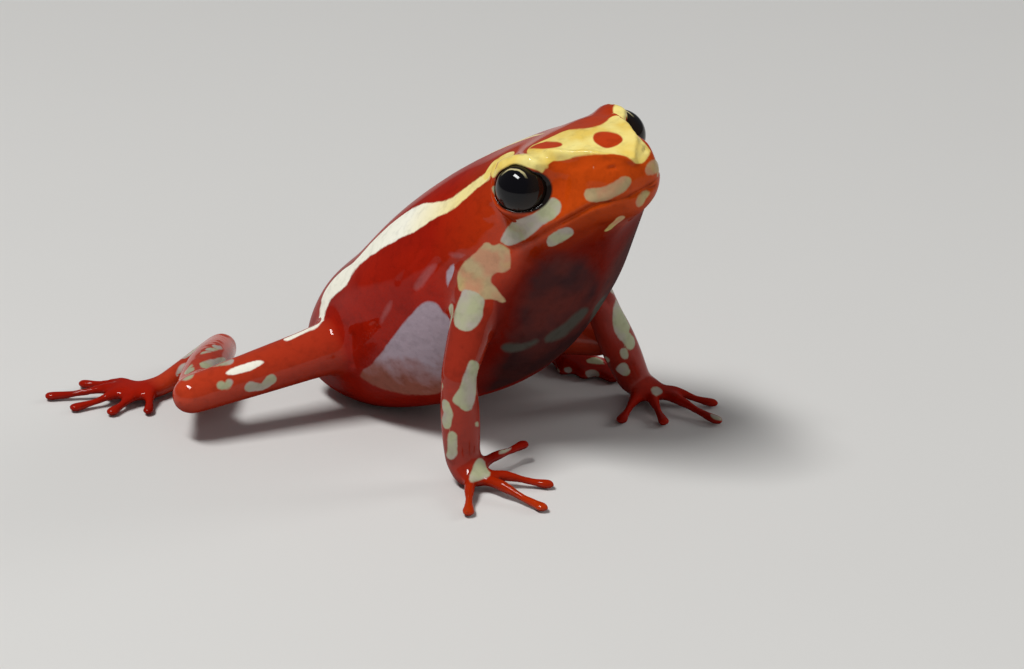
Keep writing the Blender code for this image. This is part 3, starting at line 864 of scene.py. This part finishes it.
def fromEdge(pixels, corners):  # distance from a drawn edge, below zero inside it, in pixels
    nearest = numpy.full(len(pixels), 1e9)
    inside = numpy.zeros(len(pixels), dtype=bool)
    for start, end in zip(corners, corners[1:] + corners[:1]):
        start, end = numpy.array(start, dtype=float), numpy.array(end, dtype=float)
        span = end - start
        share = numpy.clip((pixels - start) @ span / max(span @ span, 1e-9), 0, 1)
        nearest = numpy.minimum(nearest, numpy.hypot(*(pixels - start - share[:, None] * span).T))
        crosses = (start[1] > pixels[:, 1]) != (end[1] > pixels[:, 1])
        rise = span[1] if span[1] else 1e-9
        inside ^= crosses & (pixels[:, 0] < start[0] + (pixels[:, 1] - start[1]) * span[0] / rise)
    return numpy.where(inside, -nearest, nearest)


def rounded(corners):
    for turn in range(2):
        corners = [tuple(numpy.array(start) * (1 - share) + numpy.array(end) * share)
                   for start, end in zip(corners, corners[1:] + corners[:1]) for share in (0.25, 0.75)]
    return corners


def twins(places, normals):
    # each place and normal, with those of the left side put on the right one
    grid = kdtree.KDTree(len(sideGrid) * 2)
    for number, spot in enumerate(sideGrid):
        grid.insert(onBody(*spot, -1), number)
        grid.insert(onBody(*spot, 1), number)
    grid.balance()
    stations = numpy.array([sideGrid[grid.find(place)[1]][0] for place in places])
    shares = (stations - body["turnFirst"]) / (body["turnLast"] - body["turnFirst"])
    levels = numpy.round(numpy.clip(shares, 0, 1) * 24) / 24
    twinPlaces, twinNormals = places.copy(), normals.copy()
    for level in numpy.unique(levels):
        chosen = levels == level
        turned = headTurn(eased(float(level)))
        flip = Matrix.Translation(shift) @ Matrix.Diagonal((1, -1, 1, 1)) @ Matrix.Translation(-shift)
        mirror = numpy.array(turned @ flip @ turned.inverted())
        straight = numpy.array(turned.inverted())
        left = (places[chosen] @ straight[:3, :3].T + straight[:3, 3])[:, 1] > shift.y
        flipped = places[chosen] @ mirror[:3, :3].T + mirror[:3, 3]
        twinPlaces[chosen] = numpy.where(left[:, None], flipped, places[chosen])
        turnedNormals = normals[chosen] @ mirror[:3, :3].T
        twinNormals[chosen] = numpy.where(left[:, None], turnedNormals, normals[chosen])
    return twinPlaces, twinNormals


# How the camera looks at the skin: each look starts above it in millimetres and has a reach in
# metres. A mark fades where the skin faces the camera less than this. Round a mark's edge
# distances are kept for a margin in pixels, and so many rounds carry them over hidden places.
sight = {"above": 0.08, "reach": 0.04, "facing": 0.24, "fade": 7, "margin": 45.0, "rounds": 160}


def hiddenPlaces(tree, places, normals):  # whether the frog itself hides each place from the camera
    start = places + normals * sight["above"] * mm
    way = numpy.array(cameraPlace) - start
    way /= numpy.linalg.norm(way, axis=1)[:, None]
    facing = numpy.einsum("ij,ij->i", way, normals)
    hidden = numpy.zeros(len(places), dtype=bool)
    for number in numpy.nonzero(facing > 0)[0]:
        found = tree.ray_cast(start[number], way[number], sight["reach"])
        hidden[number] = found[0] is not None
    for side in (1, -1):
        centre = numpy.array(eyeFrame(side).to_translation())
        ahead = numpy.einsum("ij,ij->i", centre - start, way)
        gap = numpy.linalg.norm(start + way * ahead[:, None] - centre, axis=1)
        hidden |= (ahead > 0) & (gap < eyes["radius"] * mm) & (facing > 0)
    return hidden


def carriedOver(obj, values, hidden):  # gives hidden places the mean of their neighbours
    start, other = edgeEnds(obj)
    kept = hidden[start]
    start, other = start[kept], other[kept]
    chosen, start = numpy.unique(start, return_inverse=True)
    count = numpy.bincount(start)
    for turn in range(sight["rounds"]):
        values[chosen] = numpy.bincount(start, weights=values[other]) / count
    return values


def addLayer(obj, name, values):
    layer = obj.data.attributes.new(name, "FLOAT", "POINT")
    layer.data.foreach_set("value", numpy.ascontiguousarray(values, dtype=numpy.float32))


def beforeCarving(places):  # where each place was before the ridges and hollows, and its normal there
    grid = kdtree.KDTree(len(carvedPlaces))
    for number, place in enumerate(carvedPlaces):
        grid.insert(place, number)
    grid.balance()
    nearest = numpy.array([grid.find(place)[1] for place in places])
    return places - carvedPlaces[nearest] + plainPlaces[nearest], plainNormals[nearest]


# Marks on the sides of the limbs that the photograph doesn't show: limb, side, segment, from and to
# along it, the way round from its top in degrees, and radius
limbMarks = {
    "pale": [
        ("arm", "left", 0, 0.42, 0.62, 110, 0.42), ("arm", "left", 1, 0.20, 0.45, 70, 0.36),
        ("arm", "left", 1, 0.70, 0.76, 130, 0.30), ("arm", "left", 0, 0.80, 0.84, 20, 0.26),
        ("leg", "left", 1, 0.16, 0.42, 20, 0.38), ("leg", "left", 1, 0.58, 0.80, -20, 0.34),
        ("leg", "left", 1, 0.44, 0.50, 80, 0.28), ("leg", "left", 2, 0.30, 0.55, 20, 0.27),
        ("leg", "left", 0, 0.60, 0.66, 60, 0.30), ("leg", "right", 0, 0.45, 0.60, 100, 0.32),
        ("leg", "right", 0, 0.74, 0.80, 70, 0.28), ("leg", "right", 2, 0.40, 0.60, 0, 0.26),
        ("arm", "right", 0, 0.40, 0.55, -80, 0.36), ("arm", "right", 1, 0.30, 0.50, -100, 0.32),
    ],
    "cream": [("leg", "left", 0, 0.30, 0.52, 15, 0.30), ("leg", "left", 0, 0.70, 0.86, 5, 0.30)],
}


limbMarkStops = ((0, -6, 1.0), (0.45, 9, 0.78), (1, -4, 1.12))  # share, degrees aside and size


def limbMark(kind, word, segment, first, last, turn, radius):
    side = 1 if word == "left" else -1
    start, end, thickness = limbAxes((kind,), (word,))[segment]
    along = (end - start).normalized()
    up = (Vector((0, 0, 1)) - along * along.z).normalized()
    out = along.cross(up) * side
    path = []
    for share, shifted, size in limbMarkStops:
        angle = math.radians(turn + shifted)
        aside = (up * math.cos(angle) + out * math.sin(angle)) * thickness * mm
        path.append((start.lerp(end, first + (last - first) * share) + aside, radius * size * mm))
    return path


def laidMarks(tree):  # each layer's marks that are laid as paths and not drawn
    paths = {name: [limbMark(*mark) for mark in laid] for name, laid in limbMarks.items()}
    for line in backStripe:
        paths["cream"].append([(onBody(station, 0), size * mm) for station, size in line])
    right = [onSkin(tree, *pixel) for pixel in stripeStart]
    paths["gold"] = []
    for side, start in ((-1, right), (1, [otherSide(tree, place) for place in right])):
        path = [(eyeFrame(side) @ (Vector((-side * forward, up, out)) * mm), radius * mm)
                for forward, up, out, radius in goldOverEye[side]]
        bridge = [(place, path[0][1]) for place in laidOn(tree, start + [path[0][0]])]
        paths["gold"].append(bridge + path[1:])
    right = [onSkin(tree, *pixel) for pixel in chinMark["path"]]
    paths["tan"] = [[(place, chinMark["radius"] * mm) for place in line]
                    for line in (right, [otherSide(tree, place) for place in right])]
    return paths


def asSeen(places, normals):  # pixels, metres across a pixel there and how much each place faces it
    pixels, width = pixelsOf(places)
    toCamera = numpy.array(cameraPlace) - places
    facing = numpy.einsum("ij,ij->i", toCamera, normals) / numpy.linalg.norm(toCamera, axis=1)
    return pixels, width, facing


def fromMark(obj, corners, pixels, width, facing, covered):  # distance from its edge, in millimetres
    outline = rounded(corners)
    middle = numpy.mean(outline, axis=0)
    reach = numpy.abs(numpy.array(outline) - middle).max() + sight["margin"]
    near = numpy.abs(pixels - middle).max(axis=1) < reach
    fromLine = numpy.full(len(pixels), sight["margin"])
    fromLine[near] = fromEdge(pixels[near], outline)
    turnedAway = numpy.maximum(sight["facing"] - facing, 0) * sight["fade"]
    gap = numpy.clip(fromLine * width * 1000 + turnedAway, -2, 2)
    if near[covered].any():
        gap = carriedOver(obj, numpy.where(covered, 2, gap), covered & near)
    return gap


def addMarks(obj, places, normals):  # places and normals as before carving
    tree = BVHTree.FromPolygons([Vector(place) for place in plainPlaces], plainFaces)
    twinPlaces, twinNormals = twins(places, normals)
    onRight = numpy.linalg.norm(twinPlaces - places, axis=1) == 0
    seen = {}
    for sort, pair in (("seen", (places, normals)), ("both", (twinPlaces, twinNormals))):
        seen[sort] = (*asSeen(*pair), hiddenPlaces(tree, *pair))
        print("places hidden from the camera,", sort + ":", int(seen[sort][-1].sum()))
    offLimbs, offLegs = fromLimbs(places, ("arm", "leg")), fromLimbs(places, ("leg",))
    away = {"body": numpy.maximum(0.25 - offLimbs, 0) * 4, "any": 0,
            "arm": numpy.maximum(fromLimbs(places, ("arm",)) - 0.6, 0) * 4,
            "leg": numpy.maximum(offLegs - 0.6, 0) * 4}
    paths = laidMarks(tree)
    for name, drawn in marks.items():
        gap = numpy.full(len(places), 2.0)
        for where, sort, corners in drawn:
            offMark = fromMark(obj, corners, *seen["both" if sort == "far" else sort]) + away[where]
            gap = numpy.minimum(gap, offMark + 9 * onRight if sort == "far" else offMark)
        for path in paths.get(name, []):
            gap = numpy.minimum(gap, fromPath(places, path))
        addLayer(obj, name, numpy.clip(gap, -2, 2))
    addLayer(obj, "limb", numpy.clip(offLimbs, -2, 2))
    addLayer(obj, "legs", numpy.clip(offLegs, -2, 2))


rimLine = {"ahead": 0.24, "below": 0.05}  # how much wider the dark rim is there
headReach = {"neck": 7.4, "snout": 13}  # stations


def addShares(obj, places, normals):  # distance from the lips and eyes, and how far along the head
    addLayer(obj, "lips", numpy.clip(fromPath(places, [(place, 0.0) for place in lipLine]), 0, 2))
    rim = numpy.full(len(places), 1.0)
    for side in (1, -1):
        spot = eyeFrame(side)
        offset = places - numpy.array(spot.to_translation())
        out = numpy.linalg.norm(offset, axis=1)
        ahead = numpy.maximum(-side * offset @ numpy.array(spot.to_3x3())[:, 0] / out, 0) ** 2
        below = numpy.maximum(-offset @ numpy.array(spot.to_3x3())[:, 1] / out, 0) ** 2
        wider = rimLine["ahead"] * ahead + rimLine["below"] * below
        rim = numpy.minimum(rim, out - (eyes["radius"] + wider) * mm)
    addLayer(obj, "rim", numpy.clip(rim * 1000, -2, 2))
    neck, snout = (numpy.array(onBody(headReach[name], 3)) for name in ("neck", "snout"))
    ahead = (places - neck) @ (snout - neck) / ((snout - neck) @ (snout - neck))
    addLayer(obj, "ahead", numpy.clip(ahead, -1, 2))
    # how much the skin faces down: the finish paints shade on the underside from this and thins the wet
    # film there
    addLayer(obj, "under", numpy.clip(-normals[:, 2], 0, 1))


skinPlaces, skinNormals = pointsOf(skin), normalsOf(skin)
addMarks(skin, *beforeCarving(skinPlaces))
addShares(skin, skinPlaces, skinNormals)
print("marks drawn")


class Wire:
    # one output of a material's node, so that its maths reads as Python
    def __init__(self, finish, socket):
        self.finish = finish
        self.socket = socket

    def __add__(self, other):
        return self.finish.maths("ADD", self, other)

    def __sub__(self, other):
        return self.finish.maths("SUBTRACT", self, other)

    def __rsub__(self, other):
        return self.finish.maths("SUBTRACT", other, self)

    def __mul__(self, other):
        return self.finish.maths("MULTIPLY", self, other)

    __radd__ = __add__
    __rmul__ = __mul__

    def __truediv__(self, other):
        return self.finish.maths("DIVIDE", self, other)

    def limited(self):  # kept between 0 and 1
        return self.finish.maths("ADD", self, 0.0, use_clamp=True)


class Finish:
    # a material and its nodes
    def __init__(self, name, **constants):
        self.material = bpy.data.materials.new(name)
        self.material.use_nodes = True
        self.nodes = self.material.node_tree.nodes
        self.shader = self.nodes["Principled BSDF"]
        for socket, value in constants.items():
            self.shader.inputs[socket.replace("_", " ")].default_value = value

    def node(self, kind, settings, sockets, out=0):
        made = self.nodes.new(kind)
        for name, value in settings.items():
            if name == "stops":
                while len(made.color_ramp.elements) < len(value):
                    made.color_ramp.elements.new(0.5)
                for stop, (where, colour) in zip(made.color_ramp.elements, value):
                    stop.position = where
                    stop.color = (*colour, 1)
            else:
                setattr(made, name, value)
        for name, value in sockets.items():
            self.plug(made.inputs[name], value)
        return Wire(self, made.outputs[out])

    def plug(self, socket, value):
        if isinstance(value, Wire):
            self.material.node_tree.links.new(value.socket, socket)
        elif isinstance(value, tuple) and socket.type == "RGBA":
            socket.default_value = (*value, 1)
        else:
            socket.default_value = value

    def maths(self, operation, first, second, use_clamp=False):
        return self.node("ShaderNodeMath", {"operation": operation, "use_clamp": use_clamp},
                         {0: first, 1: second})

    def mixed(self, first, second, share):
        return self.node("ShaderNodeMix", {"data_type": "RGBA"}, {0: share, 6: first, 7: second}, out=2)

    def layer(self, name):
        return self.node("ShaderNodeAttribute", {"attribute_name": name}, {}, out="Fac")

    def place(self):
        return self.node("ShaderNodeTexCoord", {}, {}, out="Object")

    def noise(self, size, detail=2.0):  # size in metres
        return self.node("ShaderNodeTexNoise", {}, {"Vector": self.place(), "Scale": 1 / size,
                                                    "Detail": detail})

    def patches(self, size, least, gain, detail=2.0):  # soft patches between 0 and 1
        return ((self.noise(size, detail) - least) * gain).limited()

    def inside(self, distance, softness):  # 1 where the distance is below zero
        return (0.5 - distance / softness).limited()

    def bump(self, height, strength, distance):
        return self.node("ShaderNodeBump", {}, {"Strength": strength, "Distance": distance,
                                                "Height": height})

    def wire(self, **values):
        for socket, value in values.items():
            self.plug(self.shader.inputs[socket.replace("_", " ")], value)


skinColours = {
    "back": (0.34, 0.010, 0.002), "deep": (0.19, 0.004, 0.002), "head": (0.46, 0.036, 0.002),
    "snout": (0.53, 0.060, 0.004), "limb": (0.26, 0.024, 0.013), "thigh": (0.52, 0.045, 0.012),
    "cream": (0.96, 0.94, 0.80), "creamYellow": (0.90, 0.76, 0.32),
    "pale": (0.40, 0.41, 0.25), "paleGrey": (0.42, 0.37, 0.32),
    "tan": (0.46, 0.34, 0.18), "tanPink": (0.50, 0.25, 0.14), "tanYellow": (0.50, 0.40, 0.14),
    "gold": (0.84, 0.60, 0.12), "goldLight": (0.92, 0.78, 0.27), "ember": (0.50, 0.042, 0.006),
    "streak": (0.36, 0.12, 0.12), "ash": (0.065, 0.06, 0.05),
    "lilac": (0.38, 0.30, 0.35), "lilacWarm": (0.27, 0.115, 0.080),
    "chest": (0.13, 0.006, 0.003), "dusk": (0.048, 0.017, 0.018),
    "duskWarm": (0.105, 0.022, 0.018), "duskLow": (0.012, 0.006, 0.006),
    "mottle": (0.0, 0.0, 0.0), "grooveShade": (0.03, 0.004, 0.002), "lid": (0.010, 0.007, 0.006),
}
# Below these heights the belly is darker and the lilac warmer: height and softness in metres
skinHeights = {"belly": (0.0075, 0.0025), "lilac": (0.0050, 0.0020)}


def skinFinish():
    finish = Finish("frog_skin_finish", Coat_Roughness=0.05, Coat_IOR=1.45, Specular_IOR_Level=0.0)
    colour, mixed, patches = skinColours, finish.mixed, finish.patches
    ripple = finish.noise(0.0009, 3.0) - 0.5
    edge = ripple * 0.20 + (finish.noise(0.00022) - 0.5) * 0.05
    ahead, under, lips = finish.layer("ahead"), finish.layer("under"), finish.layer("lips")
    height = finish.node("ShaderNodeSeparateXYZ", {}, {0: finish.place()}, out="Z")

    def within(name, ragged, softness):  # 1 inside a mark, with a ragged edge
        return finish.inside(finish.layer(name) + ragged, softness)

    def below(name):
        top, softness = skinHeights[name]
        return (top - height) / softness

    forward = ((ahead - 0.05) * 1.6).limited()
    onLimb = within("limb", -0.1, 0.9)
    red = mixed(colour["back"], colour["deep"], patches(0.0035, 0.42, 3.2) * 0.75)
    red = mixed(red, colour["head"], forward)
    red = mixed(red, colour["snout"], ((ahead - 0.75) * 3).limited())
    red = mixed(red, colour["limb"], onLimb * 0.8)
    red = mixed(red, colour["thigh"], within("legs", -0.1, 0.9) * 0.85)
    # painted shade: the skin is darkened towards the chest colour where it faces down
    red = mixed(red, colour["chest"], (under * 1.2).limited() * 0.75)
    shade = within("chest", ripple * 0.6, 1.2)
    base = mixed(red, colour["chest"], shade * 0.9)
    belly = mixed(colour["duskWarm"], colour["dusk"], patches(0.0016, 0.35, 3))
    belly = mixed(belly, colour["duskLow"], below("belly").limited() * 0.6)
    base = mixed(base, belly, within("dusk", ripple * 0.7 + 0.1, 0.85))
    low = (below("lilac") + ripple * 1.4).limited()
    lilac = mixed(colour["lilac"], colour["lilacWarm"], low)
    base = mixed(base, lilac, within("lilac", edge, 0.10) * (1 - low * 0.35))
    tan = mixed(colour["tan"], colour["tanPink"], patches(0.0011, 0.40, 5))
    tan = mixed(tan, colour["tanYellow"], patches(0.0016, 0.52, 6))
    base = mixed(base, tan, within("tan", edge, 0.09))
    base = mixed(base, colour["streak"], within("streak", edge, 0.16) * 0.45)
    base = mixed(base, colour["ash"], within("ash", edge, 0.16))
    pale = mixed(colour["pale"], colour["paleGrey"], patches(0.0014, 0.40, 5))
    base = mixed(base, pale, within("pale", edge, 0.08))
    cream = mixed(colour["cream"], colour["creamYellow"], ((ahead + 0.25) * 2.2).limited())
    base = mixed(base, cream, within("cream", edge, 0.07))
    gold = mixed(colour["gold"], colour["goldLight"], patches(0.0012, 0.35, 3))
    base = mixed(base, gold, within("gold", edge * 0.5, 0.07))
    base = mixed(base, colour["ember"], within("ember", edge * 0.5, 0.07))
    mottle = patches(0.00045, 0.5, 5, 3.0) * 0.30
    base = mixed(base, mixed(base, colour["mottle"], 0.45), mottle)
    # painted shade: the skin is darkened along the mouth's groove
    base = mixed(base, colour["grooveShade"], finish.inside(lips - 0.05, 0.10) * 0.75)
    base = mixed(base, colour["lid"], within("rim", -0.07, 0.10))
    # the wet film is thickest on the head and limbs, and thin on the chest, lips and snout
    wet = 0.38 + (forward + onLimb).limited() * 0.36
    wet = wet * (1 - (shade * 0.7 + under * 1.6).limited() * 0.88)
    wet = wet * (0.2 + (lips * 6).limited() * 0.8)
    wet = wet * (1 - ((ahead - 0.85) * 5).limited() * 0.5)
    grain, pores = finish.noise(0.00016), finish.noise(0.00040, 1.0)
    finish.wire(Base_Color=base, Roughness=0.32 + (pores - 0.5) * 0.25, Coat_Weight=wet,
                Normal=finish.bump(grain * 0.4 + pores, 0.40, 0.00007))
    return finish.material


eyeColours = {"pupil": (0.003, 0.0025, 0.004), "iris": (0.012, 0.007, 0.005),
              "oliveReflection": (0.05, 0.04, 0.01), "ring": (0.66, 0.58, 0.30)}


def eyeFinish():
    finish = Finish("eye_finish", Roughness=0.03, Specular_IOR_Level=0.28)
    colour, mixed = eyeColours, finish.mixed
    away, upward = finish.layer("fromPupil"), finish.layer("upward")  # away is in degrees
    ripple = finish.noise(0.0003) - 0.5
    ring = finish.inside(finish.maths("ABSOLUTE", away - 38 + ripple * 5, 0.0) - 2.3, 1.5)
    ring = ring * ((upward - 0.30) * 4).limited()
    # painted reflection: an olive tint over the top of the eye, outside the gold ring
    oliveReflection = ((upward - 0.45) * 4).limited() * ((away - 42) / 8).limited()
    base = mixed(colour["pupil"], colour["iris"], ((away - 36) / 20).limited())
    base = mixed(base, colour["oliveReflection"], oliveReflection * 0.8)
    base = mixed(base, colour["ring"], ring * 0.85)
    finish.wire(Base_Color=base)
    return finish.material


def plainMaterial(name, colour, roughness):
    finish = Finish(name)
    speck = finish.noise(0.02, 3.0) - 0.5
    darker = tuple(part * 0.96 for part in colour)
    finish.wire(Base_Color=finish.mixed(colour, darker, (speck + 0.5).limited()),
                Roughness=roughness + speck * 0.1)
    return finish.material


skin.data.materials.clear()
skin.data.materials.append(skinFinish())
iris = {"back": 12.0, "lift": 4.0}  # the pupil looks less far forward than its socket, in degrees
for side, eye in ((1, eyeLeft), (-1, eyeRight)):
    spot = eyeFrame(side) @ Matrix.Rotation(math.radians(iris["back"] * side), 4, "Y")
    spot = spot @ Matrix.Rotation(math.radians(-iris["lift"]), 4, "X")
    local = (pointsOf(eye) - numpy.array(spot.to_translation())) @ numpy.array(spot.to_3x3())
    local /= numpy.linalg.norm(local, axis=1)[:, None]
    degrees = numpy.degrees(numpy.arccos(numpy.clip(local[:, 2], -1, 1)))
    addLayer(eye, "fromPupil", degrees)
    addLayer(eye, "upward", local[:, 1])
    eye.data.materials.append(eyeFinish())
print("finishes made")

fleshNodes = [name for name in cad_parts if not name.startswith("eye")]
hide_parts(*fleshNodes)
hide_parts("eye_left")
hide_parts("eye_right")
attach(skin, "root")
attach(eyeLeft, "root")
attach(eyeRight, "root")

stage = {"size": 3.0, "drop": 0.00002, "colour": (0.72, 0.71, 0.685), "roughness": 0.6}


def makeFloor():
    deselect()
    bpy.ops.mesh.primitive_plane_add(size=stage["size"], location=(0, 0, -stage["drop"]))
    obj = bpy.context.object
    obj.name = "floor"
    bpy.ops.object.transform_apply(location=True, rotation=True, scale=True)
    obj.data.materials.append(plainMaterial("floor_finish", stage["colour"], stage["roughness"]))


makeFloor()
# Soft boxes: place, size across, power in watts
lamps = {
    "key": ((-0.06, -0.14, 0.34), (0.17, 0.06), 1.12),
    "fill": ((0.42, -0.22, 0.22), (0.40, 0.40), 0.30),
    "back": ((0.22, 0.26, 0.16), (0.12, 0.12), 0.25),
}
aim = (0, 0, 0.01)
studio = {"colour": (0.9, 0.92, 0.95, 1), "strength": 0.13}


def makeLamps():
    for name, (place, size, power) in lamps.items():
        way = Vector(aim) - Vector(place)
        deselect()
        bpy.ops.object.light_add(type="AREA", location=place,
                                 rotation=way.to_track_quat("-Z", "Y").to_euler())
        lamp = bpy.context.object
        lamp.name = name + "_lamp"
        lamp.data.shape = "RECTANGLE"
        lamp.data.size, lamp.data.size_y = size
        lamp.data.energy = power
        lamp.visible_glossy = name == "key"  # so that the wet skin and the eyes mirror only this one
    world = bpy.data.worlds.new("studio")
    world.use_nodes = True
    background = world.node_tree.nodes["Background"].inputs
    background["Color"].default_value = studio["colour"]
    background["Strength"].default_value = studio["strength"]
    bpy.context.scene.world = world
    bpy.context.scene.view_settings.view_transform = "Standard"


makeLamps()
print("floor and lamps set")
